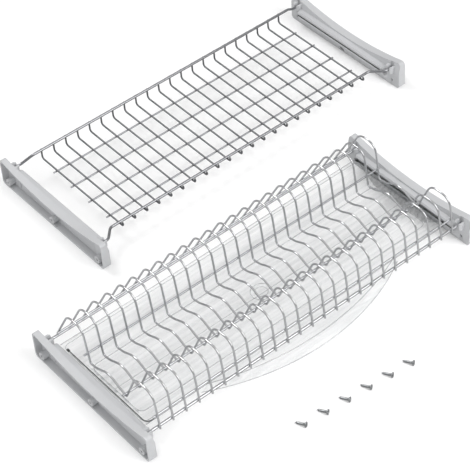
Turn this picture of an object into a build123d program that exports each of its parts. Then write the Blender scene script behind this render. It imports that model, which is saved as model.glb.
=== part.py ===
from build123d import *
from math import atan2, cos, degrees, radians, sin, tan
import os

# Cabinet dish drainer: a plate tier and a shelf tier for the inside of a wall cabinet.
# Both tiers stand side by side on one surface, as in the photograph, with six screws lying in front.
# Millimetres. X runs along the tiers, Y towards the back, Z up.
# Origin: middle of the whole group's footprint, on the surface that it stands on.

os.makedirs("parts", exist_ok=True)

# Both tiers
tier_width = 566.0
shelf_tier_x = 160.0
shelf_tier_y = 307.0

# Side brackets, measured inwards from the face that goes against the cabinet side
bracket_depth = 244.0
bracket_end_height = 46.0
bracket_middle_height = 32.0
bracket_end_thickness = 12.5
bracket_top_thickness = 9.0
bracket_shoulder_height = 29.5
bracket_bottom_corner = 6.0
bracket_top_corner = 7.0
bracket_skin = 2.6

# Ledge along the inner side of each bracket, with the groove that carries the tray
ledge_reach = 21.5
ledge_end_distance = 26.0
ledge_lip_height = 19.0
ledge_edge_chamfer = 2.0
ledge_flare_facets = 3
groove_bottom = 22.0
groove_height = 2.2
groove_depth = 6.3
ledge_cavity_inset = 6.0

# Open sockets that the frame wires drop into
socket_end_distance = 17.0
socket_height = 31.5
socket_clearance = 0.05
socket_inner_end = 9.0
socket_block_reach = 19.0
socket_block_length = 13.0
socket_block_bottom = 25.5
socket_block_top = 36.5
socket_block_corner = 2.5
socket_mouth = 6.4
socket_mouth_depth = 2.5
socket_wall = 7.0

# Screw holes and the small locating holes
screw_hole_radius = 2.2
screw_hole_end_distance = 15.0
screw_hole_height = 9.5
screw_boss_radius = 5.2
screw_recess_radius = 5.0
locating_hole_radius = 1.5
locating_hole_height = 38.0
locating_hole_end_distance = 14.0

# Wires: radii to the corners of their faceted sections
frame_wire_radius = 2.0
rail_wire_radius = 1.5
rack_wire_radius = 1.45
mesh_wire_radius = 1.35
thick_wire_sides = 8
thin_wire_sides = 6
bend_facets = 2
wide_bend_facets = 3
weld_gap = 0.02
frame_wire_end_gap = 0.5

# Plate rack
rack_wire_count = 25
rack_side_margin = 31.0
rail_stub = 5.0
rack_leg_below = 3.8
front_leg_lean = 7.0
back_leg_lean = 30.0
front_arch_height = 87.5
back_arch_height = 89.5
front_arch_bend = 17.0
front_arch_inner_bend = 18.0
back_arch_bend = 21.0
back_arch_inner_bend = 15.5
vee_z = 32.2
vee_heel_z = 36.6
hump_z = 45.9
hump_bend = 25.0
valley_knee_z = 33.2
valley_z = 30.6
front_rail_height = 50.7
back_rail_height = 41.5
valley_rail_height = 46.2

# Shelf
shelf_wire_count = 22
shelf_side_margin = 58.0
shelf_plane = 26.0
shelf_back_height = 44.5
shelf_back_inset = 9.0
shelf_back_tip = 3.0
shelf_front_inset = 18.5
shelf_corner_bend = 6.0
shelf_hook_turn = 140.0
shelf_hook_facets = 3
shelf_long_wire_count = 4
shelf_long_pitch = 42.0
shelf_long_shift = 1.5
shelf_long_stub = 5.5
crank_start = 24.0
crank_end = 41.0
crank_bend = 9.0

# Drip tray
tray_skin = 1.4
tray_side_clearance = 0.4
tray_back_gap = 0.5
tray_front_inset = 9.0
tray_corner = 9.0
tray_floor_height = 13.0
tray_wall_inset = 24.5
tray_floor_inset = 35.0
tray_basin_back_run = 5.5
tray_basin_front_run = 4.0
tray_floor_back_run = 51.5
tray_floor_front_run = 26.0
tray_bow_side_inset = 107.0
tray_bow_reach = 32.0
tray_lip_side_inset = 97.0
tray_lip_reach = 45.0
tray_lip_bottom = 15.0

# Countersunk screws
screw_length = 16.0
screw_head_radius = 4.0
screw_head_height = 2.4
screw_shank_radius = 1.9
screw_tip_radius = 0.4
screw_tip_height = 3.0
screw_sides = 8
screw_heading = -59.7
screw_count = 6
screw_row_x = -105.0
screw_row_y = -202.3
screw_row_pitch = 33.8
screw_row_drop = 3.4

half_share = 0.5
first_cut_share = 0.586
second_cut_share = 0.215
quarter_turn = 90.0
half_turn = 180.0
full_turn = 360.0

# Turning points of the rack wires, as shares of the distance between the sockets, from its middle
front_arch_inner_share = -0.314
vee_share = -0.191
vee_heel_share = -0.119
hump_share = -0.022
valley_knee_share = 0.105
valley_share = 0.173
back_arch_inner_share = 0.212


# Helpers

def unit(vector):
    return vector * (vector.length ** -1)


def flat_of(radius, sides):
    """Distance from the middle of a faceted wire to its flats."""
    return radius * cos(radians(half_turn / sides))


def support(radius, sides, angle):
    """How far a faceted wire, with a corner on its reference axis, reaches at an angle from that axis."""
    step = full_turn / sides
    off_corner = min(angle % step, step - angle % step)
    return radius * cos(radians(off_corner))


def along(origin, lean, height):
    """The y at a height on a leg that leaves a (y, z) origin leaning from the vertical."""
    return origin[0] - tan(radians(lean)) * (height - origin[1])


def beside(y, z, lean, offset):
    """Point at a distance from a leg, square to it, on the side of growing y."""
    return y + offset * cos(radians(lean)), z + offset * sin(radians(lean))


def bend_points(before, corner, after, radius, facets):
    """Corners of a bend made of straight facets that lie against its arc."""
    back = unit(before - corner)
    ahead = unit(after - corner)
    half_angle = radians(back.get_angle(ahead)) * half_share
    middle = unit(back + ahead)
    centre = corner + middle * (radius / sin(half_angle))
    across = unit(ahead - back)
    step = radians(half_turn) - (half_angle + half_angle)
    step = step / facets
    points = []
    for index in range(facets):
        angle = step * (index + half_share - facets * half_share)
        reach = radius / cos(step * half_share)
        points.append(centre - middle * (reach * cos(angle)) + across * (reach * sin(angle)))
    return points


def rod(corners, bends, radius, sides, x_dir):
    """Faceted wire through the corners; each bend is its radius and facet count."""
    corners = [Vector(*corner) for corner in corners]
    points = [corners[0]]
    for before, corner, after, bend in zip(corners, corners[1:], corners[2:], bends):
        points += bend_points(before, corner, after, *bend) if bend else [corner]
    points.append(corners[-1])
    start = Plane(origin=points[0], z_dir=points[1] - points[0], x_dir=x_dir)
    section = start * RegularPolygon(radius, sides)
    return sweep(section, path=Polyline(*points), transition=Transition.RIGHT)


def straight_rod(half_length, y, z, radius, sides, turn):
    """Straight wire along X; the turn sets which way a corner of its section points."""
    section = across_at(-half_length) * Pos(y, z) * Rot(0, 0, turn) * RegularPolygon(radius, sides)
    return extrude(section, half_length + half_length)


def across_at(x):
    """Plane across the brackets at a distance from their outer face, with Y to the right and Z up."""
    return Plane(origin=(x, 0, 0), z_dir=Axis.X.direction, x_dir=Axis.Y.direction)


def box_between(low, high):
    size = [b - a for a, b in zip(low, high)]
    return Pos(*low) * Box(*size, align=(Align.MIN, Align.MIN, Align.MIN))


def post_along_x(x_from, x_to, y, z, radius, sides):
    """Faceted boss or recess across a bracket, with flats at the radius."""
    outline = Pos(y, z) * Rot(0, 0, half_turn / sides) * RegularPolygon(radius, sides, major_radius=False)
    return extrude(across_at(x_from) * outline, x_to - x_from)


def hole_along_x(x_from, x_to, y, z, radius):
    cylinder = Cylinder(radius, x_to - x_from, align=(Align.CENTER, Align.CENTER, Align.MIN))
    return Pos(x_from, y, z) * Rot(0, quarter_turn, 0) * cylinder


# Side bracket

pieces = {}
half_depth = bracket_depth * half_share
half_width = tier_width * half_share
socket_y = half_depth - socket_end_distance
screw_hole_y = half_depth - screw_hole_end_distance
locating_hole_y = half_depth - locating_hole_end_distance
groove_top = groove_bottom + groove_height
ledge_half = half_depth - ledge_end_distance
ledge_cavity_length = (ledge_half - ledge_cavity_inset) / half_share
flare = ledge_reach - bracket_end_thickness
boss_sides = thick_wire_sides
seat_radius = frame_wire_radius + socket_clearance
seat_corner = seat_radius * cos(radians(full_turn / thick_wire_sides))


def bracket_outline(inset):
    """Side view of a bracket: low in the middle, taller towards both ends."""
    end_y = half_depth - inset
    top_z = bracket_end_height - inset
    outline = make_face(
        [
            Line((-end_y, inset), (end_y, inset)),
            Line((end_y, inset), (end_y, top_z)),
            ThreePointArc((end_y, top_z), (0, bracket_middle_height - inset), (-end_y, top_z)),
            Line((-end_y, top_z), (-end_y, inset)),
        ]
    )
    return outline


def cornered_outline(inset):
    """The outline with its corners cut to lie against their rounding."""
    outline = bracket_outline(inset)
    bottom = outline.vertices().group_by(Axis.Y)[0]
    outline = chamfer(bottom, bracket_bottom_corner * first_cut_share)
    top = outline.vertices().group_by(Axis.Y)[-1]
    uncut_count = len(outline.vertices()) - len(top)
    outline = chamfer(top, bracket_top_corner * first_cut_share)
    cut_corners = outline.vertices().sort_by(Axis.Y)[uncut_count:]
    return chamfer(cut_corners, bracket_top_corner * second_cut_share)


def prism_along_y(points, length):
    return extrude(Plane.XZ * make_face(Polyline(*points, close=True)), length * half_share, both=True)


def ledge_plan():
    """Plan of the ledge, which runs out towards the bracket ends in hollow curves."""
    quarter = []
    for index in range(ledge_flare_facets + 1):
        angle = radians(quarter_turn * index / ledge_flare_facets)
        quarter.append((ledge_reach - flare * sin(angle), ledge_half + flare - flare * cos(angle)))
    front = [(x, -y) for x, y in reversed(quarter)]
    outline = [(0, -ledge_half - flare)] + front + quarter + [(0, ledge_half + flare)]
    return make_face(Polyline(*outline, close=True))


def bracket():
    skin = bracket_skin
    wall_section = [
        (0, 0),
        (bracket_end_thickness, 0),
        (bracket_end_thickness, bracket_shoulder_height),
        (bracket_top_thickness, bracket_end_height),
        (0, bracket_end_height),
    ]
    ledge_section = [
        (0, 0),
        (bracket_end_thickness, 0),
        (ledge_reach, ledge_lip_height),
        (ledge_reach, bracket_shoulder_height - ledge_edge_chamfer),
        (ledge_reach - ledge_edge_chamfer, bracket_shoulder_height),
        (0, bracket_shoulder_height),
    ]
    wall = prism_along_y(wall_section, bracket_depth)
    wall = wall & extrude(Plane.YZ * cornered_outline(0), bracket_end_thickness)
    ledge = prism_along_y(ledge_section, bracket_depth) & extrude(ledge_plan(), bracket_end_height)
    body = wall + ledge

    # Hollow side against the cabinet, with a boss round each screw hole
    cavity_reach = bracket_end_thickness - skin
    wall_cavity = prism_along_y(
        [
            (0, 0),
            (cavity_reach, 0),
            (cavity_reach, bracket_shoulder_height - skin),
            (bracket_top_thickness - skin, bracket_end_height),
            (0, bracket_end_height),
        ],
        bracket_depth,
    )
    wall_cavity = wall_cavity & extrude(Plane.YZ * cornered_outline(skin), bracket_end_thickness)
    ledge_cavity_reach = ledge_reach - groove_depth - skin
    ledge_cavity = prism_along_y(
        [
            (0, skin),
            (cavity_reach, skin),
            (ledge_cavity_reach + skin, groove_bottom - skin),
            (ledge_cavity_reach, groove_bottom - skin),
            (ledge_cavity_reach, bracket_shoulder_height - skin),
            (0, bracket_shoulder_height - skin),
        ],
        ledge_cavity_length,
    )
    cavity = wall_cavity + ledge_cavity
    half_block = socket_block_length * half_share
    for way in (-1, 1):
        y = way * socket_y
        cavity = cavity - box_between(
            (socket_wall, y - half_block, socket_block_bottom - skin),
            (ledge_reach, y + half_block, bracket_end_height),
        )
    for step in (-1, 0, 1):
        y = step * screw_hole_y
        cavity = cavity - post_along_x(0, ledge_reach, y, screw_hole_height, screw_boss_radius, boss_sides)
    body = body - cavity

    # Screw holes; the middle one is reached through a recess in the ledge
    for step in (-1, 0, 1):
        y = step * screw_hole_y
        body = body - hole_along_x(0, ledge_reach, y, screw_hole_height, screw_hole_radius)
    body = body - post_along_x(cavity_reach, ledge_reach, 0, screw_hole_height, screw_recess_radius, boss_sides)

    # Socket blocks with their open slots
    half_mouth = socket_mouth * half_share
    mouth_bottom = socket_block_top - socket_mouth_depth
    for way in (-1, 1):
        y = way * socket_y
        block = box_between(
            (socket_wall, y - half_block, socket_block_bottom),
            (socket_block_reach, y + half_block, socket_block_top),
        )
        block = chamfer(block.edges().filter_by(Axis.Z).group_by(Axis.X)[-1], socket_block_corner)
        body = body + block
        slot_outline = [
            (y, socket_height - seat_radius),
            (y + seat_corner, socket_height - seat_corner),
            (y + seat_radius, socket_height),
            (y + seat_radius, mouth_bottom),
            (y + half_mouth, socket_block_top),
            (y + half_mouth, bracket_end_height),
            (y - half_mouth, bracket_end_height),
            (y - half_mouth, socket_block_top),
            (y - seat_radius, mouth_bottom),
            (y - seat_radius, socket_height),
            (y - seat_corner, socket_height - seat_corner),
        ]
        slot = across_at(socket_inner_end) * make_face(Polyline(*slot_outline, close=True))
        body = body - extrude(slot, ledge_reach, dir=Axis.X.direction)
        hole_y = way * locating_hole_y
        body = body - post_along_x(0, ledge_reach, hole_y, locating_hole_height, locating_hole_radius, boss_sides)

    # Groove for the tray, open at the front and stopped at the back
    groove = box_between(
        (ledge_reach - groove_depth, -bracket_depth, groove_bottom),
        (tier_width, ledge_half, groove_top),
    )
    return body - groove


left_bracket = bracket()
right_bracket = mirror(left_bracket, about=Plane.YZ)

for tier, tier_x, tier_y in (("rack", 0, 0), ("shelf", shelf_tier_x, shelf_tier_y)):
    pieces[f"{tier}_bracket_left"] = Pos(tier_x - half_width, tier_y, 0) * left_bracket
    pieces[f"{tier}_bracket_right"] = Pos(tier_x + half_width, tier_y, 0) * right_bracket


# Plate rack: two frame wires that drop into the sockets, four rails and the bent rack wires

frame_wire_half = half_width - socket_inner_end - frame_wire_end_gap
rack_half = half_width - rack_side_margin
rack_pitch = rack_half / half_share / (rack_wire_count - 1)
rail_half = rack_half + rail_stub
rack_wire_flat = flat_of(rack_wire_radius, thin_wire_sides)
rail_flat = flat_of(rail_wire_radius, thick_wire_sides)
rail_offset = rail_flat + rack_wire_flat + weld_gap

# The legs pass outside the frame wires; leg points are taken square to those wires
front_offset = support(frame_wire_radius, thick_wire_sides, front_leg_lean) + rack_wire_flat + weld_gap
back_offset = support(frame_wire_radius, thick_wire_sides, back_leg_lean) + rack_wire_flat + weld_gap
front_leg = beside(-socket_y, socket_height, -front_leg_lean, -front_offset)
back_leg = beside(socket_y, socket_height, back_leg_lean, back_offset)
leg_foot = socket_height - rack_leg_below

socket_spacing = socket_y / half_share
front_arch_inner_y = socket_spacing * front_arch_inner_share
vee_y = socket_spacing * vee_share
vee_heel_y = socket_spacing * vee_heel_share
hump_y = socket_spacing * hump_share
valley_knee_y = socket_spacing * valley_knee_share
valley_y = socket_spacing * valley_share
back_arch_inner_y = socket_spacing * back_arch_inner_share

rack_wire_corners = [
    (along(back_leg, back_leg_lean, leg_foot), leg_foot),
    (along(back_leg, back_leg_lean, back_arch_height), back_arch_height),
    (back_arch_inner_y, back_arch_height),
    (valley_y, valley_z),
    (valley_knee_y, valley_knee_z),
    (hump_y, hump_z),
    (vee_heel_y, vee_heel_z),
    (vee_y, vee_z),
    (front_arch_inner_y, front_arch_height),
    (along(front_leg, -front_leg_lean, front_arch_height), front_arch_height),
    (along(front_leg, -front_leg_lean, leg_foot), leg_foot),
]
rack_wire_bends = [
    (back_arch_bend, bend_facets),
    (back_arch_inner_bend, wide_bend_facets),
    None,
    None,
    (hump_bend, bend_facets),
    None,
    None,
    (front_arch_inner_bend, bend_facets),
    (front_arch_bend, wide_bend_facets),
]
rack_wire = rod(
    [(0, y, z) for y, z in rack_wire_corners], rack_wire_bends, rack_wire_radius, thin_wire_sides, (1, 0, 0)
)

for index in range(rack_wire_count):
    x = index * rack_pitch - rack_half
    pieces[f"rack_wire_{index + 1:02d}"] = Pos(x, 0, 0) * rack_wire

for side, y in (("front", -socket_y), ("back", socket_y)):
    wire = straight_rod(frame_wire_half, y, socket_height, frame_wire_radius, thick_wire_sides, 0)
    pieces[f"rack_frame_wire_{side}"] = wire

# Rails: each lies with a flat against one straight stretch of the rack wires, the middle one in their vee
front_leg_y = along(front_leg, -front_leg_lean, front_rail_height)
back_leg_y = along(back_leg, back_leg_lean, back_rail_height)
valley_lean = degrees(atan2(valley_y - back_arch_inner_y, back_arch_height - valley_z))
valley_leg_y = along((valley_y, valley_z), valley_lean, valley_rail_height)

vee_corner = Vector(vee_y, vee_z)
vee_front = unit(Vector(front_arch_inner_y, front_arch_height) - vee_corner)
vee_back = unit(Vector(vee_heel_y, vee_heel_z) - vee_corner)
vee_half_angle = radians(vee_front.get_angle(vee_back)) * half_share
vee_offset = rail_wire_radius + rack_wire_flat + weld_gap
vee_seat = vee_corner + unit(vee_front + vee_back) * (vee_offset / sin(vee_half_angle))

flat_turn = half_turn / thick_wire_sides
rails = {
    "front": (beside(front_leg_y, front_rail_height, -front_leg_lean, rail_offset), flat_turn - front_leg_lean),
    "back": (beside(back_leg_y, back_rail_height, back_leg_lean, -rail_offset), flat_turn + back_leg_lean),
    "valley": (beside(valley_leg_y, valley_rail_height, valley_lean, rail_offset), flat_turn + valley_lean),
    "middle": ((vee_seat.X, vee_seat.Y), 0),
}
for name, ((y, z), turn) in rails.items():
    rail = straight_rod(rail_half, y, z, rail_wire_radius, thick_wire_sides, turn)
    pieces[f"rack_rail_{name}"] = rail


# Shelf: flat wire mesh with a raised back edge, on two frame wires

shelf = Pos(shelf_tier_x, shelf_tier_y, 0)
shelf_half = half_width - shelf_side_margin
shelf_pitch = shelf_half / half_share / (shelf_wire_count - 1)
mesh_flat = flat_of(mesh_wire_radius, thin_wire_sides)
mesh_frame_offset = frame_wire_radius + mesh_flat + weld_gap
shelf_back_y = socket_y - shelf_back_inset
shelf_front_y = shelf_front_inset - socket_y
shelf_front_z = shelf_plane + mesh_frame_offset

crank_start_x = half_width - crank_start
crank_end_x = half_width - crank_end


def cranked_wire(socket_side_y, middle_y, middle_z):
    """Frame wire that runs straight into both sockets and is cranked to the mesh between them."""
    half = [
        (frame_wire_half, socket_side_y, socket_height),
        (crank_start_x, socket_side_y, socket_height),
        (crank_end_x, middle_y, middle_z),
    ]
    corners = [(-x, y, z) for x, y, z in half] + list(reversed(half))
    bends = [(crank_bend, bend_facets) for corner in corners[1:-1]]
    return shelf * rod(corners, bends, frame_wire_radius, thick_wire_sides, (0, 1, 0))


pieces["shelf_frame_wire_back"] = cranked_wire(socket_y, shelf_back_y, shelf_back_height)
pieces["shelf_frame_wire_front"] = cranked_wire(-socket_y, shelf_front_y, shelf_front_z)

# Cross wires: down behind the back frame wire, forward under the mesh, curled round the front frame wire
hook_step = shelf_hook_turn / shelf_hook_facets
drop_y = shelf_back_y + mesh_frame_offset
corners = [
    (0, drop_y, shelf_back_height + shelf_back_tip),
    (0, drop_y, shelf_plane),
]
hook_reach = mesh_frame_offset / cos(radians(hook_step * half_share))
for index in range(shelf_hook_facets):
    angle = radians(hook_step * (index + half_share))
    corners.append((0, shelf_front_y - hook_reach * sin(angle), shelf_front_z - hook_reach * cos(angle)))
end_angle = radians(shelf_hook_turn)
corners.append(
    (
        0,
        shelf_front_y - mesh_frame_offset * sin(end_angle),
        shelf_front_z - mesh_frame_offset * cos(end_angle),
    )
)
bends = [(shelf_corner_bend, bend_facets)] + [None] * shelf_hook_facets
cross_wire = rod(corners, bends, mesh_wire_radius, thin_wire_sides, (1, 0, 0))
cross_wires = [
    shelf * Pos(index * shelf_pitch - shelf_half, 0, 0) * cross_wire for index in range(shelf_wire_count)
]
pieces["shelf_cross_wires"] = Compound(children=cross_wires)

# Long wires under the cross wires
long_z = shelf_plane - mesh_flat - flat_of(mesh_wire_radius, thick_wire_sides) - weld_gap
long_span = shelf_long_pitch * (shelf_long_wire_count - 1)
for index in range(shelf_long_wire_count):
    y = shelf_long_shift - long_span * half_share + index * shelf_long_pitch
    half_length = shelf_half + shelf_long_stub
    wire = shelf * straight_rod(half_length, y, long_z, mesh_wire_radius, thick_wire_sides, flat_turn)
    pieces[f"shelf_long_wire_{index + 1}"] = wire


# Drip tray: shallow clear basin hung in the two grooves, with a bowed lip in front

tray_top = groove_bottom + (groove_height + tray_skin) * half_share
tray_half = half_width - (ledge_reach - groove_depth) - tray_side_clearance
tray_back_y = ledge_half - tray_back_gap
tray_front_y = tray_front_inset - ledge_half


def tray_plate(half_x, y_front, y_back):
    """Rectangle with its corners cut to lie against their rounding, about the middle of the tray's width."""
    plate = Pos(0, (y_front + y_back) * half_share, 0) * Rectangle(half_x + half_x, y_back - y_front)
    return chamfer(plate.vertices(), tray_corner * first_cut_share)


def bow(half_x, reach):
    """Flat piece between the straight front edge and a line bowed out to a reach."""
    y_front = tray_front_y - reach
    straight = Line((-half_x, tray_front_y), (half_x, tray_front_y))
    return make_face([straight, ThreePointArc((half_x, tray_front_y), (0, y_front), (-half_x, tray_front_y))])


def basin(rise):
    """Basin block, lifted by the rise, from the floor outline up to the rim outline."""
    low = tray_plate(
        half_width - tray_floor_inset, tray_front_y + tray_floor_front_run, tray_back_y - tray_floor_back_run
    )
    high = tray_plate(
        half_width - tray_wall_inset, tray_front_y + tray_basin_front_run, tray_back_y - tray_basin_back_run
    )
    return loft([Pos(0, 0, tray_floor_height + rise) * low, Pos(0, 0, tray_top + rise) * high], ruled=True)


def lip(drop):
    low = Pos(0, 0, tray_lip_bottom - drop) * bow(tray_half - tray_lip_side_inset, tray_lip_reach)
    high = Pos(0, 0, tray_top - drop) * bow(tray_half - tray_bow_side_inset, tray_bow_reach)
    return loft([low, high], ruled=True)


rim = Pos(0, 0, tray_top - tray_skin) * extrude(tray_plate(tray_half, tray_front_y, tray_back_y), tray_skin)
tray = rim + basin(0) + (lip(0) - lip(tray_skin))
tray = tray - basin(tray_skin)
pieces["drip_tray"] = tray


# Screws: countersunk, lying on their head's rim and their shank

def screw_section(height, radius):
    return Pos(0, 0, height) * RegularPolygon(radius, screw_sides)


head_bottom = screw_length - screw_head_height
tip = loft([screw_section(0, screw_tip_radius), screw_section(screw_tip_height, screw_shank_radius)], ruled=True)
shank = extrude(screw_section(screw_tip_height, screw_shank_radius), head_bottom - screw_tip_height)
head = loft([screw_section(head_bottom, screw_shank_radius), screw_section(screw_length, screw_head_radius)], ruled=True)
one_screw = tip + shank + head

rest_tilt = degrees(atan2(screw_head_radius - screw_shank_radius, screw_length - screw_tip_height))
middle_height = screw_head_radius * cos(radians(rest_tilt)) - screw_length * half_share * sin(radians(rest_tilt))
screws = []
for index in range(screw_count):
    x = screw_row_x + index * screw_row_pitch
    y = screw_row_y - index * screw_row_drop
    lying = Rot(0, quarter_turn - rest_tilt, 0) * Pos(0, 0, -screw_length * half_share) * one_screw
    screws.append(Pos(x, y, middle_height) * Rot(0, 0, screw_heading) * lying)
pieces["loose_screws"] = Compound(children=screws)

# Every piece, moved so that the origin lies under the middle of the group
boxes = [piece.bounding_box() for piece in pieces.values()]
middle_x = (min(box.min.X for box in boxes) + max(box.max.X for box in boxes)) * half_share
middle_y = (min(box.min.Y for box in boxes) + max(box.max.Y for box in boxes)) * half_share
for name, piece in pieces.items():
    export_step(Pos(-middle_x, -middle_y, 0) * piece, f"parts/{name}.step")
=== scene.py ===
# %% [markdown]
# # Cabinet dish drainer
# Two tiers for the inside of a wall cabinet: a plate rack of bent wire over a clear drip tray, and
# a flat wire shelf. Each hangs between two grey plastic side brackets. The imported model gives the
# sizes and places. This lesson gives the surfaces: round drawn wire, moulded plastic with soft
# edges and a thin clear sheet.

from math import atan2, cos, pi, radians, sin, tan

import bmesh
import bpy
from mathutils import Matrix, Vector


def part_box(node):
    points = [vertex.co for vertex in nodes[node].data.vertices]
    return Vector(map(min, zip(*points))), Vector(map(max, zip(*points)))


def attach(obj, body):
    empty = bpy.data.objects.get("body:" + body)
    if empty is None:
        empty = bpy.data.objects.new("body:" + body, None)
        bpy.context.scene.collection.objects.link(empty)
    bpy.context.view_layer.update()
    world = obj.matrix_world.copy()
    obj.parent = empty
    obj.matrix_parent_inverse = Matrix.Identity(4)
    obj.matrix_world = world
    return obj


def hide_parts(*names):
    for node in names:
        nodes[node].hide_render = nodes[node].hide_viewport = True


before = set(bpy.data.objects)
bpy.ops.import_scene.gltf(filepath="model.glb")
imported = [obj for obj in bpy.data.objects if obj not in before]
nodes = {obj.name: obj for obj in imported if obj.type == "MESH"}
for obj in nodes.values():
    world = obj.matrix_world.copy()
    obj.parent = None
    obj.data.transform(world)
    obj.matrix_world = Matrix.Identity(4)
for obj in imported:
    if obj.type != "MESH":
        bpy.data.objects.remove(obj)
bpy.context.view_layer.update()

# %% [markdown]
# ## Working units and colours
# The drawings of such a product are in millimetres and Blender works in metres, so one helper
# turns the first into the second. Colours are written as the sRGB hex values that a screen shows
# and turned to the linear values that the shaders expect.

# %% Units and colours


def mm(value):
    return value * 0.001


def linear(hex_colour):
    """Linear RGBA from an sRGB hex colour."""
    channels = [int(hex_colour[i : i + 2], 16) / 255 for i in (1, 3, 5)]
    return [c / 12.92 if c <= 0.04045 else ((c + 0.055) / 1.055) ** 2.4 for c in channels] + [1.0]


print("light grey moulding:", [round(c, 3) for c in linear("#c9cacc")])

# %% [markdown]
# ## One helper for material nodes
# A material is a small circuit. Every node is added the same way: its kind, its settings, and
# what feeds each of its sockets. With one function the materials below read like recipes. A Mix
# node has sockets of the same name for numbers, vectors and colours, so the ones for colours are
# given by their number.

# %% Node helper
mix_factor, mix_a, mix_b, mix_result = 0, 6, 7, 2


def add_node(material, kind, feeds=None, **settings):
    """Adds a node; settings are its attributes, feeds are socket values or the sockets to link."""
    tree = material.node_tree
    node = tree.nodes.new(kind)
    for name, value in settings.items():
        setattr(node, name, value)
    for name, value in (feeds or {}).items():
        if isinstance(value, bpy.types.NodeSocket):
            tree.links.new(value, node.inputs[name])
        else:
            node.inputs[name].default_value = value
    return node


def new_material(name):
    material = bpy.data.materials.new(name)
    material.use_nodes = True
    material.node_tree.nodes.clear()
    return material


print("one function adds every node:", add_node.__name__)

# %% [markdown]
# ## Plated steel wire
# The racks are low-carbon steel wire, drawn through a die, welded and then plated bright. Drawing
# leaves faint lines along the wire and plating leaves a satin cloudiness, so the highlight on each
# wire is a soft streak and not a mirror line. The cloudiness is a few millimetres across. The
# fine grain has a real pitch near 0.1 mm and is drawn at 0.6 mm, which is the finest that shows.

# %% Plated wire material
cloud_pitch, cloud_detail, clearer, cloudier = 6.0, 2.0, 0.06, 0.08
grain_pitch, grain_detail, grain_strength, grain_depth = 0.6, 1.0, 0.08, 0.05


def plated_wire(name, colours, roughness):
    material = new_material(name)
    place = add_node(material, "ShaderNodeTexCoord").outputs["Object"]
    cloud_feeds = {"Vector": place, "Scale": 1 / mm(cloud_pitch), "Detail": cloud_detail}
    cloud = add_node(material, "ShaderNodeTexNoise", cloud_feeds).outputs["Fac"]
    grain_feeds = {"Vector": place, "Scale": 1 / mm(grain_pitch), "Detail": grain_detail}
    grain = add_node(material, "ShaderNodeTexNoise", grain_feeds).outputs["Fac"]
    tone_feeds = {mix_factor: cloud, mix_a: linear(colours[0]), mix_b: linear(colours[1])}
    tone = add_node(material, "ShaderNodeMix", tone_feeds, data_type="RGBA").outputs[mix_result]
    satin_feeds = {"Value": cloud, "To Min": roughness - clearer, "To Max": roughness + cloudier}
    satin = add_node(material, "ShaderNodeMapRange", satin_feeds).outputs["Result"]
    drawn_feeds = {"Height": grain, "Strength": grain_strength, "Distance": mm(grain_depth)}
    drawn = add_node(material, "ShaderNodeBump", drawn_feeds).outputs["Normal"]
    metal_feeds = {"Base Color": tone, "Roughness": satin, "Normal": drawn, "Metallic": 1.0}
    metal = add_node(material, "ShaderNodeBsdfPrincipled", metal_feeds).outputs["BSDF"]
    add_node(material, "ShaderNodeOutputMaterial", {"Surface": metal})
    return material


# All six sets of wire are one plated steel. Their tones differ as painted light and shade: lighter
# for the rack, darker for the shelf and the valley rail, darkest for the shelf cross wires.
rack_wire_steel = plated_wire("bright plated rack wire", ("#d4d5d7", "#e2e3e5"), 0.19)
rack_rail_steel = plated_wire("bright plated rack rail", ("#bcbdc0", "#cbccce"), 0.15)
valley_rail_shaded_steel = plated_wire("satin plated rack rail", ("#a9aaad", "#b7b8bb"), 0.28)
shelf_frame_steel = plated_wire("bright plated shelf frame wire", ("#9fa0a3", "#adaeb1"), 0.22)
shelf_long_steel = plated_wire("plated shelf long wire", ("#a4a5a8", "#b2b3b6"), 0.36)
shelf_cross_wire_shaded_steel = plated_wire("satin plated shelf cross wire", ("#76777a", "#86878a"), 0.42)
zinc_steel = plated_wire("zinc plated screw steel", ("#adafb1", "#bdbfc0"), 0.3)
print("metals:", rack_wire_steel.name, "/", shelf_cross_wire_shaded_steel.name, "/", zinc_steel.name)

# %% [markdown]
# ## Moulded grey plastic
# The brackets are injection moulded ABS, coloured through in light grey. The mould is spark
# eroded, which leaves a very fine even texture and a low satin sheen. Wide flow marks change the
# tone by a hardly visible amount. The spark texture is about 0.2 mm in life and drawn at 0.7 mm.

# %% Bracket plastic
flow_pitch, flow_detail = 45.0, 2.0
spark_pitch, spark_detail, spark_strength, spark_depth, spark_gloss = 0.7, 2.0, 0.12, 0.06, 0.05


def moulded_plastic(name, colours, roughness):
    material = new_material(name)
    place = add_node(material, "ShaderNodeTexCoord").outputs["Object"]
    flow_feeds = {"Vector": place, "Scale": 1 / mm(flow_pitch), "Detail": flow_detail}
    flow = add_node(material, "ShaderNodeTexNoise", flow_feeds).outputs["Fac"]
    spark_feeds = {"Vector": place, "Scale": 1 / mm(spark_pitch), "Detail": spark_detail}
    spark = add_node(material, "ShaderNodeTexNoise", spark_feeds).outputs["Fac"]
    tone_feeds = {mix_factor: flow, mix_a: linear(colours[0]), mix_b: linear(colours[1])}
    tone = add_node(material, "ShaderNodeMix", tone_feeds, data_type="RGBA").outputs[mix_result]
    lowest, highest = roughness - spark_gloss, roughness + spark_gloss
    satin_feeds = {"Value": spark, "To Min": lowest, "To Max": highest}
    satin = add_node(material, "ShaderNodeMapRange", satin_feeds).outputs["Result"]
    eroded_feeds = {"Height": spark, "Strength": spark_strength, "Distance": mm(spark_depth)}
    eroded = add_node(material, "ShaderNodeBump", eroded_feeds).outputs["Normal"]
    plastic_feeds = {"Base Color": tone, "Roughness": satin, "Normal": eroded, "IOR": 1.53}
    plastic = add_node(material, "ShaderNodeBsdfPrincipled", plastic_feeds).outputs["BSDF"]
    add_node(material, "ShaderNodeOutputMaterial", {"Surface": plastic})
    return material


bracket_abs = moulded_plastic("injection moulded grey ABS", ("#bcbdbf", "#c5c6c8"), 0.46)
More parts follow.
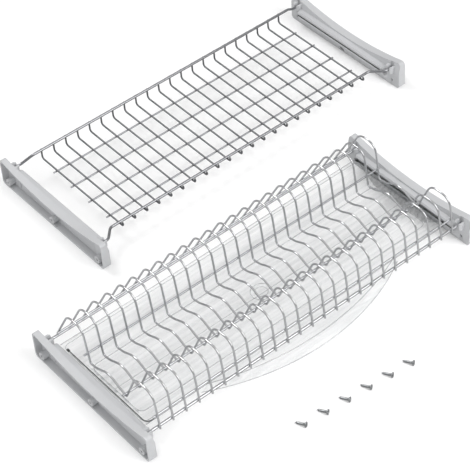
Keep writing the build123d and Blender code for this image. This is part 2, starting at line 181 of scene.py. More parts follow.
# Painted shade: near-black plastic for the faces deep in the groove, which lie in shadow.
groove_painted_shade = moulded_plastic("grey ABS deep inside the groove", ("#2c2d2f", "#343537"), 0.6)
print("plastic:", bracket_abs.name)

# %% [markdown]
# ## Clear tray sheet
# The tray is thermoformed from clear polystyrene about 1.4 mm thick. A thin clear sheet hardly
# bends what lies behind it, so it is drawn as a pane that lets most light straight through. Seen
# edge on, at creases and rims, it turns greyer and less clear. Forming leaves shallow waves in the
# sheet, about 30 mm across, that make its highlights wander. The rollers leave faint streaks along
# it, about 3 mm apart and drawn at 5 mm so that they show. Where the sheet is thicker in a streak
# it covers more, so a streak depth says how far its cover wanders from the mean.

# %% Clear sheet material
wave_pitch, wave_detail, wave_strength, wave_depth = 30.0, 1.0, 0.2, 1.0
streak_pitch, streak_detail, streak_stretch = 5.0, 2.0, 0.05
streak_start, streak_end, facing_start, facing_blend = 0.35, 0.65, 0.3, 0.35


def clear_plastic(name, tint, face_cover, edge_cover, streak_depth):
    """A pane: the covers say how much of what lies behind is hidden, face on and edge on."""
    material = new_material(name)
    place = add_node(material, "ShaderNodeTexCoord").outputs["Object"]
    wave_feeds = {"Vector": place, "Scale": 1 / mm(wave_pitch), "Detail": wave_detail}
    waves = add_node(material, "ShaderNodeTexNoise", wave_feeds).outputs["Fac"]
    wavy_feeds = {"Height": waves, "Strength": wave_strength, "Distance": mm(wave_depth)}
    wavy = add_node(material, "ShaderNodeBump", wavy_feeds).outputs["Normal"]
    along_feeds = {"Vector": place, "Scale": (streak_stretch, 1.0, 1.0)}
    along = add_node(material, "ShaderNodeMapping", along_feeds).outputs["Vector"]
    streak_feeds = {"Vector": along, "Scale": 1 / mm(streak_pitch), "Detail": streak_detail}
    streaks = add_node(material, "ShaderNodeTexNoise", streak_feeds).outputs["Fac"]
    uneven_feeds = {"Value": streaks, "From Min": streak_start, "From Max": streak_end}
    uneven_feeds |= {"To Min": 1 - streak_depth, "To Max": 1 + streak_depth}
    uneven = add_node(material, "ShaderNodeMapRange", uneven_feeds).outputs["Result"]
    facing = add_node(material, "ShaderNodeLayerWeight", {"Blend": facing_blend}).outputs["Facing"]
    cover_feeds = {"Value": facing, "From Min": facing_start}
    cover_feeds |= {"To Min": face_cover, "To Max": edge_cover}
    cover = add_node(material, "ShaderNodeMapRange", cover_feeds).outputs["Result"]
    product = {"operation": "MULTIPLY", "use_clamp": True}
    hidden = add_node(material, "ShaderNodeMath", {0: cover, 1: uneven}, **product).outputs["Value"]
    pane_feeds = {"Base Color": linear(tint), "Roughness": 0.12, "IOR": 1.57}
    pane_feeds |= {"Alpha": hidden, "Normal": wavy}
    pane = add_node(material, "ShaderNodeBsdfPrincipled", pane_feeds).outputs["BSDF"]
    add_node(material, "ShaderNodeOutputMaterial", {"Surface": pane})
    return material


clear_sheet = clear_plastic("thermoformed clear polystyrene", "#a9adb0", 0.068, 0.75, 0.65)
# Painted shade: greyer sheet for the fine lines where the sheet bends at a crease.
crease_painted_shade = clear_plastic("clear polystyrene drawn tight at a crease", "#8f9397", 0.42, 1.0, 0.3)
# Painted shade: a grey skin for the band where the right side wall turns the light away.
side_wall_painted_shade = clear_plastic("side wall seen on end", "#5c5f62", 0.22, 0.8, 0.15)
# Painted shade: near-black sheet for the dark line where the rim sits in the groove.
side_rim_painted_shade = clear_plastic("stacked thickness of the side rim", "#232527", 0.92, 1.0, 0.05)
print("clear sheets:", clear_sheet.name, "/", crease_painted_shade.name)

# %% [markdown]
# ## Forming wire
# A wire former feeds straight wire and bends it round pins. The same two moves make the mesh: a
# circle of edges is extruded along each straight run, then spun round the centre of each bend.
# A step of a bend turns by about 9 degrees, and by less where the bend is wide. The corner points
# and bend radii are those of the model but for a few ends, so each piece lies where its node lies.

# %% Wire former
wire_sides = 14
bend_step, wide_bend = radians(9), 25.0


def feed(shape, ring, here, target):
    """Extrudes the open ring straight from here to the target and returns the new open ring."""
    made = bmesh.ops.extrude_edge_only(shape, edges=ring)["geom"]
    new = [part for part in made if isinstance(part, bmesh.types.BMVert)]
    bmesh.ops.translate(shape, verts=new, vec=target - here)
    edges = [part for part in made if isinstance(part, bmesh.types.BMEdge)]
    return [edge for edge in edges if len(edge.link_faces) == 1], target


def bent_wire(corners, bends, radius):
    """A round wire through the corner points in millimetres, with a bend radius at each corner."""
    corners = [Vector(corner) * mm(1) for corner in corners]
    aim = (corners[1] - corners[0]).normalized()
    turn = aim.to_track_quat("Z", "Y").to_matrix().to_4x4()
    shape = bmesh.new()
    bmesh.ops.create_circle(
        shape, segments=wire_sides, radius=mm(radius), matrix=Matrix.Translation(corners[0]) @ turn
    )
    ring = shape.edges[:]
    here = corners[0]
    for before, corner, after, bend in zip(corners, corners[1:], corners[2:], bends):
        back, ahead = (before - corner).normalized(), (after - corner).normalized()
        half = back.angle(ahead) / 2
        reach = mm(bend) / tan(half)
        ring, here = feed(shape, ring, here, corner + back * reach)
        centre = corner + (back + ahead).normalized() * (mm(bend) / sin(half))
        axis = back.cross(ahead).normalized()
        angle = pi - 2 * half
        made = bmesh.ops.spin(
            shape,
            geom=ring + list({v for edge in ring for v in edge.verts}),
            cent=centre,
            axis=-axis,
            angle=angle,
            steps=max(1, round(angle / bend_step * max(1.0, bend / wide_bend))),
        )["geom_last"]
        ring = [part for part in made if isinstance(part, bmesh.types.BMEdge)]
        here = corner + ahead * reach
    feed(shape, ring, here, corners[-1])
    return shape


print("wire former: sides", wire_sides)

# %% [markdown]
# ### Cropping a wire
# A wire is cropped square, so both its ends get a flat face with a sharp edge and the rest is
# shaded smooth. The finished wire then takes the place of its node, and moves with its body.

# %% Cropped ends
weld_distance = 0.001


def finish_wire(name, shape, body, node, material):
    """Closes both ends, checks the outside and hands the wire over in place of its node."""
    bmesh.ops.remove_doubles(shape, verts=shape.verts[:], dist=mm(weld_distance))
    bmesh.ops.holes_fill(shape, edges=[edge for edge in shape.edges if edge.is_boundary], sides=0)
    bmesh.ops.recalc_face_normals(shape, faces=shape.faces[:])
    for face in shape.faces:
        face.smooth = len(face.verts) == 4
        if len(face.verts) > 4:
            for edge in face.edges:
                edge.smooth = False
    mesh = bpy.data.meshes.new(name)
    shape.to_mesh(mesh)
    shape.free()
    mesh.materials.append(material)
    piece = bpy.data.objects.new(name, mesh)
    bpy.context.collection.objects.link(piece)
    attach(piece, body)
    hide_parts(node)
    return piece


print("doubles are welded within", weld_distance, "mm")

# %% [markdown]
# ## Plate rack wires
# Each rack wire stands outside the two frame wires, rises to an arch at the back, drops to a
# valley, runs over a low hump to a vee and rises to the front arch. A plate leans between two
# such wires with its edge in the vee or on the hump. All of them are formed from the same corner
# points, because the real ones come off the same former.

# %% Rack wire places
rack_wire_radius, rail_radius, frame_radius, mesh_radius = 1.4, 1.5, 2.0, 1.3
rack_corners = [
    (109.75, 29.7),
    (75.22, 89.5),
    (44.52, 89.5),
    (36.33, 30.6),
    (22.05, 33.2),
    (-4.62, 45.9),
    (-24.99, 36.6),
    (-40.11, 32.2),
    (-65.94, 87.5),
    (-101.41, 87.5),
    (-108.5, 29.7),
]
rack_bends = [21, 15.5, 4, 20, 25, 20, 2.9, 18, 17]


def centre_of(node):
    low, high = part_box(node)
    return (low + high) / 2


def tier_middle(tier):
    """Middle of a tier in millimetres, from the boxes of its two brackets."""
    return (centre_of(f"{tier}_bracket_left") + centre_of(f"{tier}_bracket_right")) / 2 / mm(1)


rack_y = tier_middle("rack").y
rack_nodes = sorted(node for node in nodes if node.startswith("rack_wire_"))
for node in rack_nodes:
    x = centre_of(node).x / mm(1)
    shape = bent_wire([(x, rack_y + y, z) for y, z in rack_corners], rack_bends, rack_wire_radius)
    finish_wire(f"{node}_round", shape, "plate_rack", node, rack_wire_steel)
print("rack wires:", len(rack_nodes))

# %% [markdown]
# ## Straight frame wires and rails
# Stock wire cut to length and cropped square. Its length and place are read from the node's box,
# so a straight wire here is one feed of the wire former.

# %% Straight wires


def straight_wire(node, radius, body, material):
    low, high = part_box(node)
    middle = centre_of(node) / mm(1)
    ends = [(low.x / mm(1), middle.y, middle.z), (high.x / mm(1), middle.y, middle.z)]
    return finish_wire(f"{node}_round", bent_wire(ends, [], radius), body, node, material)


for node in nodes:
    if node.startswith("rack_rail_"):
        # The valley rail gets a darker tone, painted shade.
        rail_steel = valley_rail_shaded_steel if node == "rack_rail_valley" else rack_rail_steel
        straight_wire(node, rail_radius, "plate_rack", rail_steel)
    elif node.startswith("rack_frame_wire_"):
        straight_wire(node, frame_radius, "plate_rack", rack_rail_steel)
    elif node.startswith("shelf_long_wire_"):
        straight_wire(node, mesh_radius, "shelf", shelf_long_steel)
straight_nodes = [n for n in nodes if n.startswith(("rack_rail", "rack_frame", "shelf_long"))]
print("straight wires:", len(straight_nodes))

# %% [markdown]
# ## Shelf wires
# Both frame wires run straight into their sockets and are cranked to the mesh between them: the
# back one up to the raised edge, the front one down and inwards. Each cross wire is bent up behind
# the back frame wire and curled round the front one, so that no cropped end faces the hand.

# %% Shelf wires
shelf_x, shelf_y = tier_middle("shelf").x, tier_middle("shelf").y
wire_half, crank_start_x, crank_end_x, crank_bend = 273.5, 259.0, 242.0, 9.0
socket_y, socket_z = 105.0, 31.5
mesh_offset, mesh_plane, front_y, front_z = 3.19, 26.0, -86.5, 29.19
back_y, back_z, back_tip_drop, back_bend = 96.0, 44.5, 1.0, 4.5
cross_wire_count, cross_wire_pitch = 22, 450.0 / 21


def cranked_wire(node, end_y, middle_y, middle_z):
    half = [
        (wire_half, end_y, socket_z),
        (crank_start_x, end_y, socket_z),
        (crank_end_x, middle_y, middle_z),
    ]
    corners = [(-x, y, z) for x, y, z in half] + half[::-1]
    corners = [(shelf_x + x, shelf_y + y, z) for x, y, z in corners]
    shape = bent_wire(corners, [crank_bend] * 4, frame_radius)
    finish_wire(f"{node}_round", shape, "shelf", node, shelf_frame_steel)


cranked_wire("shelf_frame_wire_back", socket_y, back_y, back_z)
cranked_wire("shelf_frame_wire_front", -socket_y, front_y, front_z)

hook_turn, hook_gap, hook_tail = radians(140), 4.0, 0.6
hook_reach = mesh_offset * tan(hook_turn / 2)
corner_y = front_y - hook_gap - hook_reach
tail = hook_reach + hook_tail
cross_profile = [
    (back_y + mesh_offset, back_z - back_tip_drop),
    (back_y + mesh_offset, mesh_plane),
    (corner_y, mesh_plane),
    (corner_y - tail * cos(hook_turn), mesh_plane + tail * sin(hook_turn)),
]
for index in range(cross_wire_count):
    x = shelf_x + (index - (cross_wire_count - 1) / 2) * cross_wire_pitch
    corners = [(x, shelf_y + y, z) for y, z in cross_profile]
    shape = bent_wire(corners, [back_bend, mesh_offset], mesh_radius)
    name = f"shelf_cross_wire_{index + 1:02d}"
    # The cross wires get the darkest tone, painted shade.
    finish_wire(name, shape, "shelf", "shelf_cross_wires", shelf_cross_wire_shaded_steel)
print("shelf middle:", round(shelf_x, 2), round(shelf_y, 2))

# %% [markdown]
# ## Bracket mouldings
# The imported bracket already has its walls, ledge, groove, bosses and sockets, so a copy of it is
# all that is needed. The copy is welded into one skin and its flat triangles are joined. A float
# layer on its edges marks the sharp ones, which a later step makes round. The faces deep in the
# groove keep their edges and are painted near black: painted shade, where the groove is in shadow.

# %% Welded skin
skin_weld, flat_angle, sharp_angle = 0.01, radians(1), radians(32)
groove_low, groove_high, groove_reach = mm(21.9), mm(24.3), mm(15.0)


def welded_skin(node, groove_shade_slot):
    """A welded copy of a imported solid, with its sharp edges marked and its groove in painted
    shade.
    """
    shape = bmesh.new()
    shape.from_mesh(nodes[node].data)
    bmesh.ops.remove_doubles(shape, verts=shape.verts[:], dist=mm(skin_weld))
    bmesh.ops.dissolve_limit(
        shape, angle_limit=flat_angle, verts=shape.verts[:], edges=shape.edges[:]
    )
    bmesh.ops.recalc_face_normals(shape, faces=shape.faces[:])
    low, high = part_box(node)
    softened = shape.edges.layers.float.new("bevel_weight_edge")
    for edge in shape.edges:
        edge[softened] = float(edge.calc_face_angle(0) > sharp_angle)
    for face in shape.faces:
        face.smooth = True
        place = face.calc_center_median()
        reach = place.x - low.x if low.x < 0 else high.x - place.x
        # Faces deep in the groove get the painted shade.
        if groove_low < place.z < groove_high and reach > groove_reach:
            face.material_index = groove_shade_slot
            for edge in face.edges:
                edge[softened] = 0.0
    return shape


print("an edge counts as sharp from", round(sharp_angle, 2), "rad")

# %% [markdown]
# ### Broken edges
# A moulding has no knife edges: its corners are broken by the radius of the tool. A Bevel modifier
# rounds the marked edges only, and weighted normals keep the wide faces flat to the eye.

# %% Brackets
edge_radius = 0.55


def soft_copy(node, name, radius, body, materials):
    """The welded skin of a node with soft edges; the last material is the painted shade of the
    groove.
    """
    shape = welded_skin(node, len(materials) - 1)
    mesh = bpy.data.meshes.new(name)
    shape.to_mesh(mesh)
    shape.free()
    for material in materials:
        mesh.materials.append(material)
    piece = bpy.data.objects.new(name, mesh)
    bpy.context.collection.objects.link(piece)
    edges = piece.modifiers.new("broken edges", "BEVEL")
    edges.width = mm(radius)
    edges.affect = "EDGES"
    edges.segments = 2
    edges.profile = 0.5
    edges.material = -1
    edges.limit_method = "WEIGHT"
    edges.use_clamp_overlap = True
    weights = piece.modifiers.new("flat faces stay flat", "WEIGHTED_NORMAL")
    weights.keep_sharp = True
    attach(piece, body)
    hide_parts(node)
    return piece


for tier in ("rack", "shelf"):
    for side in ("left", "right"):
        node = f"{tier}_bracket_{side}"
        # The second tone is painted shade for the groove.
        tones = [bracket_abs, groove_painted_shade]
        soft_copy(node, f"{node}_moulding", edge_radius, "side_brackets", tones)
print("brackets: 4")

# %% [markdown]
# ## Drip tray
# The tray is vacuum formed, so all its edges are soft. It hangs by its rim in the bracket grooves.
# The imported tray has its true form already, so it is softened as the brackets were, but in clear
# sheet. Its measures are read here, because the lines below are laid on it.

# %% Tray sheet
sheet_edge_radius, tray_depth, floor_top = 0.6, 182.5, 14.4
tray = soft_copy(
    "drip_tray", "drip_tray_sheet", sheet_edge_radius, "drip_tray", [clear_sheet]
)
tray_low, tray_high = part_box("drip_tray")
tray_x = (tray_low.x + tray_high.x) / 2 / mm(1)
tray_half = (tray_high.x - tray_low.x) / 2 / mm(1)
tray_top, tray_back, lip_front = tray_high.z / mm(1), tray_high.y / mm(1), tray_low.y / mm(1)
tray_front = tray_back - tray_depth
print("tray:", [round(v, 3) for v in tray.dimensions])

# %% [markdown]
# ### Lines along the creases
# At each crease the bend of the sheet turns the light aside, and that shows as a fine grey line.
# A thin bead from the wire former, in greyer sheet, is laid on each as painted shade: round the
# basin, round the floor, along both long edges and on the low step across the floor.

# %% Lines along the creases
fine_line, rim_crease, lip_crease, crease_line = 0.3, 0.35, 0.4, 0.45
corner_bend = 9.0


def tray_line(name, corners, bends, radius, material):
    """A fine bead on the sheet, given about the middle of the tray's width."""
    shape = bent_wire([(tray_x + x, y, z) for x, y, z in corners], bends, radius)
    finish_wire(f"drip_tray_{name}", shape, "drip_tray", "drip_tray", material)


def ring_corners(half, front, back, z):
    """Round a rectangle, starting and ending in the middle of its back."""
    places = [(0, back), (half, back), (half, front), (-half, front), (-half, back), (0, back)]
    return [(x, y, z) for x, y in places]


def across(half, y, z):
    return [(-half, y, z), (half, y, z)]


def inset_box(side, front, back):
    """Half width, front and back of the tray's outline, each drawn in by its inset."""
    return tray_half - side, tray_front + front, tray_back - back


basin_half, basin_front, basin_back = inset_box(side=8.9, front=4.0, back=5.5)
floor_half, floor_front, floor_back = inset_box(side=19.4, front=26.0, back=51.5)
edge_half, back_edge_inset, step_shift = tray_half - corner_bend, 0.5, 1.5
step_y = (floor_front + floor_back) / 2 + step_shift
basin_line = ring_corners(basin_half, basin_front, basin_back, tray_top)
floor_line = ring_corners(floor_half, floor_front, floor_back, floor_top)
back_line = across(edge_half, tray_back - back_edge_inset, tray_top)
tray_line("basin_crease", basin_line, [corner_bend] * 4, rim_crease, crease_painted_shade)
tray_line("floor_crease", floor_line, [corner_bend] * 4, crease_line, crease_painted_shade)
tray_line("front_edge", across(edge_half, tray_front, tray_top), [], crease_line, crease_painted_shade)
tray_line("back_edge", back_line, [], crease_line, crease_painted_shade)
tray_line("floor_step", across(floor_half, step_y, floor_top), [], fine_line, crease_painted_shade)
print("tray creases: basin", round(basin_half, 1), "floor", round(floor_half, 1))

# %% [markdown]
# ### Bowed front
# In the middle of its front the tray bows out over a rounded lip. Both lines are arcs, so each is
# one wide bend of the wire former. Its corner lies where the tangents at both ends of the arc
# cross.

# %% Bowed front edge and lip
bow_end, bow_reach = 107.0, 32.0
lip_end, lip_inset, lip_height = 97.0, 0.4, 15.2
bow_half, lip_half = tray_half - bow_end, tray_half - lip_end
lip_reach = tray_front - lip_front - lip_inset
nearly_whole = 0.999


def bow_corners(half, front, reach, z):
    """Ends and crossing tangents of the arc through both ends that is bowed out by a reach."""
    turn = 2 * atan2(reach, half)
    return [(-half, front, z), (0, front - half * tan(turn), z), (half, front, z)]


def bow_bend(half, reach):
    """Radius of that arc, a trace smaller so that a short straight is left at both ends."""
    return (half * half + reach * reach) / (2 * reach) * nearly_whole


bow_line = bow_corners(bow_half, tray_front, bow_reach, tray_top)
lip_line = bow_corners(lip_half, tray_front, lip_reach, lip_height)
# Both lines are painted shade, as at the creases.
tray_line("bow_edge", bow_line, [bow_bend(bow_half, bow_reach)], crease_line, crease_painted_shade)
tray_line("lip_edge", lip_line, [bow_bend(lip_half, lip_reach)], lip_crease, crease_painted_shade)
print("lip reach:", round(lip_reach, 1))

# %% [markdown]
# ### Side rims
# Along both sides the rim of the tray sits in the bracket groove, where a dark line of shade runs.
# A thicker bead in near-black sheet paints that shade: it runs along each side, turns in at the
# front corner and carries a short stout piece, the stop, at its back.

# %% Side rims with their stops, in painted shade
rim_radius, rim_bend, rim_return, rim_overhang = 0.75, 8.0, 12.0, 0.8
stop_radius, stop_length = 1.8, 4.0
rims = {"left": (-1, 10.6, 13.0), "right": (1, 7.0, 1.5)}
for side, (way, inset, start) in rims.items():
    side_x = tray_half - inset
    rim_start, rim_front = tray_back - start, tray_front + rim_overhang
    rim = [
        (way * side_x, rim_start, tray_top),
        (way * side_x, rim_front, tray_top),
        (way * (side_x - rim_return), rim_front, tray_top),
    ]
    # The rim bead and its stop are painted shade.
    tray_line(f"{side}_rim", rim, [rim_bend], rim_radius, side_rim_painted_shade)
    stop = [rim[0], (way * side_x, rim_start - stop_length, tray_top)]
    tray_line(f"{side}_stop", stop, [], stop_radius, side_rim_painted_shade)
print("side rims:", len(rims))

# %% [markdown]
# ### Right side wall
# The right side wall bends the light away and shows as a grey band, which is painted: a square
# grid cell is drawn out to the four corners of that wall and thickened to a grey skin of painted
# shade that lies just off the sheet.

# %% Right side wall
wall_margin, wall_inset, wall_skin, wall_lift = 0.06, 4.0, 0.15, (-0.2, 0, 0.22)


def wall_place(share, corner, way):
    """On the right wall, from its foot (0) to the rim (1), a little in from the corner line."""
    x = tray_x + floor_half + (basin_half - floor_half) * share
    y = corner[0] + (corner[1] - corner[0]) * share - way * wall_inset
    return Vector((x, y, floor_top + (tray_top - floor_top) * share)) * mm(1)


wall = bmesh.new()
bmesh.ops.create_grid(wall, x_segments=1, y_segments=1, size=1.0)
for vertex in wall.verts:
    share = 1 - wall_margin if vertex.co.x > 0 else wall_margin
    if vertex.co.y > 0:
        place = wall_place(share, (floor_back, basin_back), 1)
    else:
        place = wall_place(share, (floor_front, basin_front), -1)
    vertex.co = place + Vector(wall_lift) * mm(1)
bmesh.ops.recalc_face_normals(wall, faces=wall.faces[:])
bmesh.ops.solidify(wall, geom=wall.faces[:], thickness=mm(wall_skin))
# The wall skin is painted shade.
wall_piece = finish_wire(
    "drip_tray_right_wall", wall, "drip_tray", "drip_tray", side_wall_painted_shade
)
for polygon in wall_piece.data.polygons:
    polygon.use_smooth = False
print("right wall faces:", len(wall_piece.data.polygons))

# %% [markdown]
# ### Rings in the floor
# Two shallow rings in the middle of the floor stiffen it. Each is a square whose corners are bent
# so wide that hardly any straight is left.

# %% Rings in the floor
ring_radii, ring_shift, ring_share = (9.0, 15.0), 3.0, 0.98
ring_y = step_y + ring_shift
for radius in ring_radii:
    back, front = ring_y + radius, ring_y - radius
    places = [(0, back), (radius, back), (radius, front), (0, front)]
    places += [(-radius, front), (-radius, back), (0, back)]
    turns = [(x, y, floor_top) for x, y in places]
    ring_bends = [radius * ring_share] * (len(turns) - 2)
    # The ring lines are painted shade, as at the creases.
    tray_line(f"floor_ring_{radius:.0f}", turns, ring_bends, rim_crease, crease_painted_shade)
print("floor rings:", len(ring_radii))

# %% [markdown]
# ## Loose screws
# Six countersunk screws of 4 by 16 mm. A header strikes the head of such a screw and presses the
# cross into it. Here the head starts as a square grid that is drawn out to a disc, because the
# middle cells of the grid already form a cross to press in.

# %% Screw head, upright, with the point of the screw at the origin
screw_length, head_radius = 16.0, 4.0
cells, arm_share, recess_depth, recess_taper = 7, 0.62, 1.5, 0.6


def press_head(shape):
    """Makes the disc with its cross and returns the open edges of its rim."""
    bmesh.ops.create_grid(shape, x_segments=cells, y_segments=cells, size=1.0)
    for vertex in shape.verts:
        x, y = vertex.co.x, vertex.co.y
        round_off = max(abs(x), abs(y)) / max(Vector((x, y)).length, mm(0.001))
        vertex.co = Vector((x * round_off, y * round_off, 0)) * mm(head_radius)
        vertex.co.z = mm(screw_length)
    arm_width = 2.0 * head_radius / cells
    cross = []
    for face in shape.faces:
        x, y = (abs(v) / mm(1) for v in face.calc_center_median().xy)
        if min(x, y) < arm_width / 2 and max(x, y) < head_radius * arm_share:
            cross.append(face)
    rim = [edge for edge in shape.edges if edge.is_boundary]
    pressed = bmesh.ops.extrude_face_region(shape, geom=cross)["geom"]
    floor = [part for part in pressed if isinstance(part, bmesh.types.BMVert)]
    bmesh.ops.delete(shape, geom=cross, context="FACES_ONLY")
    bmesh.ops.translate(shape, verts=floor, vec=(0, 0, -mm(recess_depth)))
    bmesh.ops.scale(shape, verts=floor, vec=(recess_taper, recess_taper, 1.0))
    return rim


print("screw head:", 2 * head_radius, "mm across, recess", recess_depth, "mm deep")

# %% [markdown]
# ### Cone, shank and point
# Under its rim the head narrows to a cone, so that it sinks flush. The rim is drawn down from
# station to station, each with its own height and radius, as on a lathe.

# %% Cone, shank and point
core_radius, thread_radius = 1.45, 1.95
head_height, tip_height, rim_height, neck_run, point_radius = 2.4, 3.2, 0.35, 1.2, 0.12
cone_height_share, cone_radius_share = 0.45, 0.62
stations = [
    (screw_length - rim_height, head_radius),
    (screw_length - head_height, thread_radius),
    (screw_length - head_height - neck_run, core_radius),
    (tip_height, core_radius),
    (tip_height * cone_height_share, core_radius * cone_radius_share),
    (0.0, point_radius),
]


def draw_shank(shape, rim):
    """Draws the open rim down through the stations and closes the point."""
    here, width = screw_length, head_radius
    for height, radius in stations:
        made = bmesh.ops.extrude_edge_only(shape, edges=rim)["geom"]
        new = [part for part in made if isinstance(part, bmesh.types.BMVert)]
        bmesh.ops.translate(shape, verts=new, vec=(0, 0, mm(height - here)))
        bmesh.ops.scale(shape, verts=new, vec=(radius / width, radius / width, 1.0))
        edges = [part for part in made if isinstance(part, bmesh.types.BMEdge)]
        rim = [edge for edge in edges if len(edge.link_faces) == 1]
        here, width = height, radius
    bmesh.ops.holes_fill(shape, edges=rim, sides=0)


print("shank stations:", len(stations))

# %% [markdown]
# ### Thread
# The thread of such a screw is rolled: one sharp ridge that winds from the point to below the
# head and runs out at the point. A small wedge is wound round the shank, closed at both ends and
# drawn in where the shank tapers.

# %% Thread
thread_pitch, thread_steps, thread_top_gap, thread_start = 1.4, 18, 1.0, tip_height * 0.5
thread_sink, thread_flank, thread_margin = 0.3, 0.32, 0.1


def wind_thread(shape):
    """Winds the wedge round the shank, closes both its ends and draws it in at the point."""
    turns = (screw_length - head_height - thread_top_gap - thread_start) / thread_pitch
    wedge = [
        (core_radius - thread_sink, thread_start - thread_flank),
        (thread_radius, thread_start),
        (core_radius - thread_sink, thread_start + thread_flank),
    ]
    corners = [shape.verts.new((mm(x), 0, mm(z))) for x, z in wedge]
    profile = [shape.edges.new((corners[i], corners[i - 1])) for i in range(3)]
    steps = round(turns * thread_steps)
    wound = bmesh.ops.spin(
        shape,
        geom=corners + profile,
        cent=(0, 0, 0),
        axis=(0, 0, 1),
        dvec=(0, 0, mm(thread_pitch * turns / steps)),
        angle=2 * pi * turns,
        steps=steps,
    )["geom_last"]
    for end in (profile, [part for part in wound if isinstance(part, bmesh.types.BMEdge)]):
        bmesh.ops.holes_fill(shape, edges=end, sides=3)
    for vertex in shape.verts:
        height, radius = vertex.co.z / mm(1), vertex.co.xy.length / mm(1)
        if height < tip_height and radius > core_radius + thread_margin:
            crest = core_radius + (thread_radius - core_radius) * height / tip_height
            vertex.co.xy *= crest / radius


def screw_shape():
    shape = bmesh.new()
    draw_shank(shape, press_head(shape))
    wind_thread(shape)
    bmesh.ops.recalc_face_normals(shape, faces=shape.faces[:])
    return shape


print("thread pitch:", thread_pitch, "mm")

# %% [markdown]
# ### Laying the screws down
# A countersunk screw rolls until the rim of its head and its thread touch the surface. The tilt
# follows from those two radii. The six lie in a row in front of the plate tier, and each is rolled
# a little further than the one before.

# %% Six screws on the surface
screw_count, screw_heading, roll_step = 6, radians(-66), 17
row_x, row_y, row_step_x, row_step_y = -105.0, -202.3, 33.8, -3.4
touch_radius, touch_height = 1.9, 3.0
lean = atan2(head_radius - touch_radius, screw_length - touch_height)
lying_height = head_radius * cos(lean) - screw_length / 2 * sin(lean)
rack_middle = tier_middle("rack")
for index in range(screw_count):
    x = rack_middle.x + row_x + index * row_step_x
    y = rack_middle.y + row_y + index * row_step_y
    shape = screw_shape()
    lying = (
        Matrix.Translation(Vector((x, y, lying_height)) * mm(1))
        @ Matrix.Rotation(screw_heading, 4, "Z")
        @ Matrix.Rotation(pi / 2 - lean, 4, "Y")
        @ Matrix.Rotation(radians(roll_step * index), 4, "Z")
        @ Matrix.Translation((0, 0, -mm(screw_length / 2)))
    )
    bmesh.ops.transform(shape, matrix=lying, verts=shape.verts[:])
    mesh = bpy.data.meshes.new(f"loose_screw_{index + 1}")
    shape.to_mesh(mesh)
    shape.free()
    mesh.materials.append(zinc_steel)
    screw = bpy.data.objects.new(mesh.name, mesh)
    bpy.context.collection.objects.link(screw)
    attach(screw, "side_brackets")
    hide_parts("loose_screws")
print("screws:", screw_count, "lean:", round(lean, 3))

# %% [markdown]
# ## Surface
# A product photograph stands on a sweep of white paper. A wide flat grid is enough for it. The
# view transform is set to Standard, so that a colour renders as it is written.

# %% Surface
bpy.context.scene.view_settings.view_transform = "Standard"
floor_reach = 6.0
floor_mesh = bpy.data.meshes.new("floor")
shape = bmesh.new()
bmesh.ops.create_grid(shape, x_segments=1, y_segments=1, size=floor_reach)
shape.to_mesh(floor_mesh)
shape.free()
floor = bpy.data.objects.new("floor", floor_mesh)
bpy.context.collection.objects.link(floor)
print("surface:", 2 * floor_reach, "m across")

# %% [markdown]
# ### White paper
# The white paper is what the camera sees round the object. It glows a little where it is seen,
# directly or through metal and sheet, but throws no more light on the object. In a mirror image
# it is dimmer than it is to the eye, as if dark card lay beside the wires, and that gives them
# their darker flanks.

# %% White paper
paper_glow, mirror_dimming = 0.15, 0.5
sweep = new_material("white paper sweep")
rays = add_node(sweep, "ShaderNodeLightPath").outputs
seen = rays["Is Camera Ray"]
for ray in ("Is Glossy Ray", "Is Transmission Ray"):
    either = {0: seen, 1: rays[ray]}
    seen = add_node(sweep, "ShaderNodeMath", either, operation="MAXIMUM").outputs["Value"]
glow_feeds = {0: seen, 1: paper_glow}
glow = add_node(sweep, "ShaderNodeMath", glow_feeds, operation="MULTIPLY").outputs["Value"]
lift = add_node(sweep, "ShaderNodeEmission", {"Strength": glow}).outputs["Emission"]
paper = add_node(sweep, "ShaderNodeBsdfDiffuse", {"Color": linear("#efefef")}).outputs["BSDF"]
lifted = add_node(sweep, "ShaderNodeAddShader", {0: paper, 1: lift}).outputs["Shader"]
dim_feeds = {0: rays["Is Glossy Ray"], 1: mirror_dimming}
dimming = add_node(sweep, "ShaderNodeMath", dim_feeds, operation="MULTIPLY").outputs["Value"]
card = add_node(sweep, "ShaderNodeBsdfDiffuse", {"Color": linear("#202020")}).outputs["BSDF"]
shown_feeds = {0: dimming, 1: lifted, 2: card}
shown_paper = add_node(sweep, "ShaderNodeMixShader", shown_feeds).outputs["Shader"]
add_node(sweep, "ShaderNodeOutputMaterial", {"Surface": shown_paper})
floor_mesh.materials.append(sweep)
print("paper glow:", paper_glow, "dimmed in metal by", mirror_dimming)

# %% [markdown]
# ### Light of the room
# The room lights the object evenly, brighter from above than from the sides, so that the round
# wires get darker flanks. The camera itself sees plain white beyond the paper.

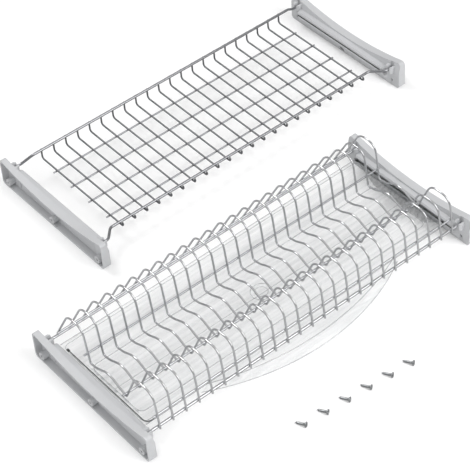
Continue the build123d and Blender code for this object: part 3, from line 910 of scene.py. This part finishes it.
# %% Light of the room
side_light, top_light, backdrop_light = 0.28, 0.69, 1.0
white = linear("#ffffff")
world = bpy.data.worlds.new("white studio")
world.use_nodes = True
world.node_tree.nodes.clear()
bpy.context.scene.world = world
direction = add_node(world, "ShaderNodeTexCoord").outputs["Generated"]
height = add_node(world, "ShaderNodeSeparateXYZ", {"Vector": direction}).outputs["Z"]
level_feeds = {"Value": height, "To Min": side_light, "To Max": top_light}
level = add_node(world, "ShaderNodeMapRange", level_feeds).outputs["Result"]
room_feeds = {"Color": white, "Strength": level}
room = add_node(world, "ShaderNodeBackground", room_feeds).outputs["Background"]
backdrop_feeds = {"Color": white, "Strength": backdrop_light}
backdrop = add_node(world, "ShaderNodeBackground", backdrop_feeds).outputs["Background"]
shown = add_node(world, "ShaderNodeLightPath").outputs["Is Camera Ray"]
around_feeds = {0: shown, 1: room, 2: backdrop}
around = add_node(world, "ShaderNodeMixShader", around_feeds).outputs["Shader"]
add_node(world, "ShaderNodeOutputWorld", {"Surface": around})
print("room light:", side_light, "to", top_light)

# %% [markdown]
# ### Lamps
# Four soft boxes face the object. The key box stands behind on the left and lets the shadows fall
# forwards. The fill box in front lightens them, and the left box lightens the hollows of the left
# brackets. Neither of those two leaves a mirror image on the metal. The streak box in front draws
# one bright line along each wire.

# %% Lamps


def soft_box(name, place, width, height, power, mirrored=True):
    """A lamp that faces the object; one that isn't mirrored leaves no streak on the metal."""
    lamp = bpy.data.lights.new(name, "AREA")
    lamp.shape = "RECTANGLE"
    lamp.size, lamp.size_y = width, height
    lamp.energy = power
    rig = bpy.data.objects.new(name, lamp)
    rig.location = place
    rig.rotation_mode = "QUATERNION"
    rig.rotation_quaternion = (-Vector(place)).to_track_quat("-Z", "Y")
    rig.visible_glossy = mirrored
    bpy.context.collection.objects.link(rig)


soft_box("key box", (-0.4, 1.5, 2.4), 1.0, 1.0, 24)
soft_box("fill box", (0.9, -2.3, 1.0), 1.8, 1.8, 17, mirrored=False)
soft_box("left box", (-2.2, -0.7, 0.9), 1.2, 1.2, 14, mirrored=False)
soft_box("streak box", (0.6, -1.6, 1.5), 1.3, 2.0, 22)
boxes = [rig.name for rig in bpy.data.objects if rig.type == "LIGHT"]
print("lamps:", boxes)

# %% [markdown]
# ## Camera
# A long lens looks down on both tiers from the front left. Its place is measured from the middle
# of the plate tier.

# %% Camera
lens, sensor_width = 140.783, 36.0
camera_place = Vector((-1.02873, -1.35303, 1.78546))
camera_turn = (0.862762, 0.372942, -0.105045, -0.32484)
camera = bpy.data.objects.new("camera", bpy.data.cameras.new("camera"))
camera.data.lens = lens
camera.data.sensor_width = sensor_width
camera.location = Vector((rack_middle.x, rack_middle.y, 0)) * mm(1) + camera_place
camera.rotation_mode = "QUATERNION"
camera.rotation_quaternion = camera_turn
bpy.context.collection.objects.link(camera)
bpy.context.scene.camera = camera
print("camera:", [round(v, 3) for v in camera.location])
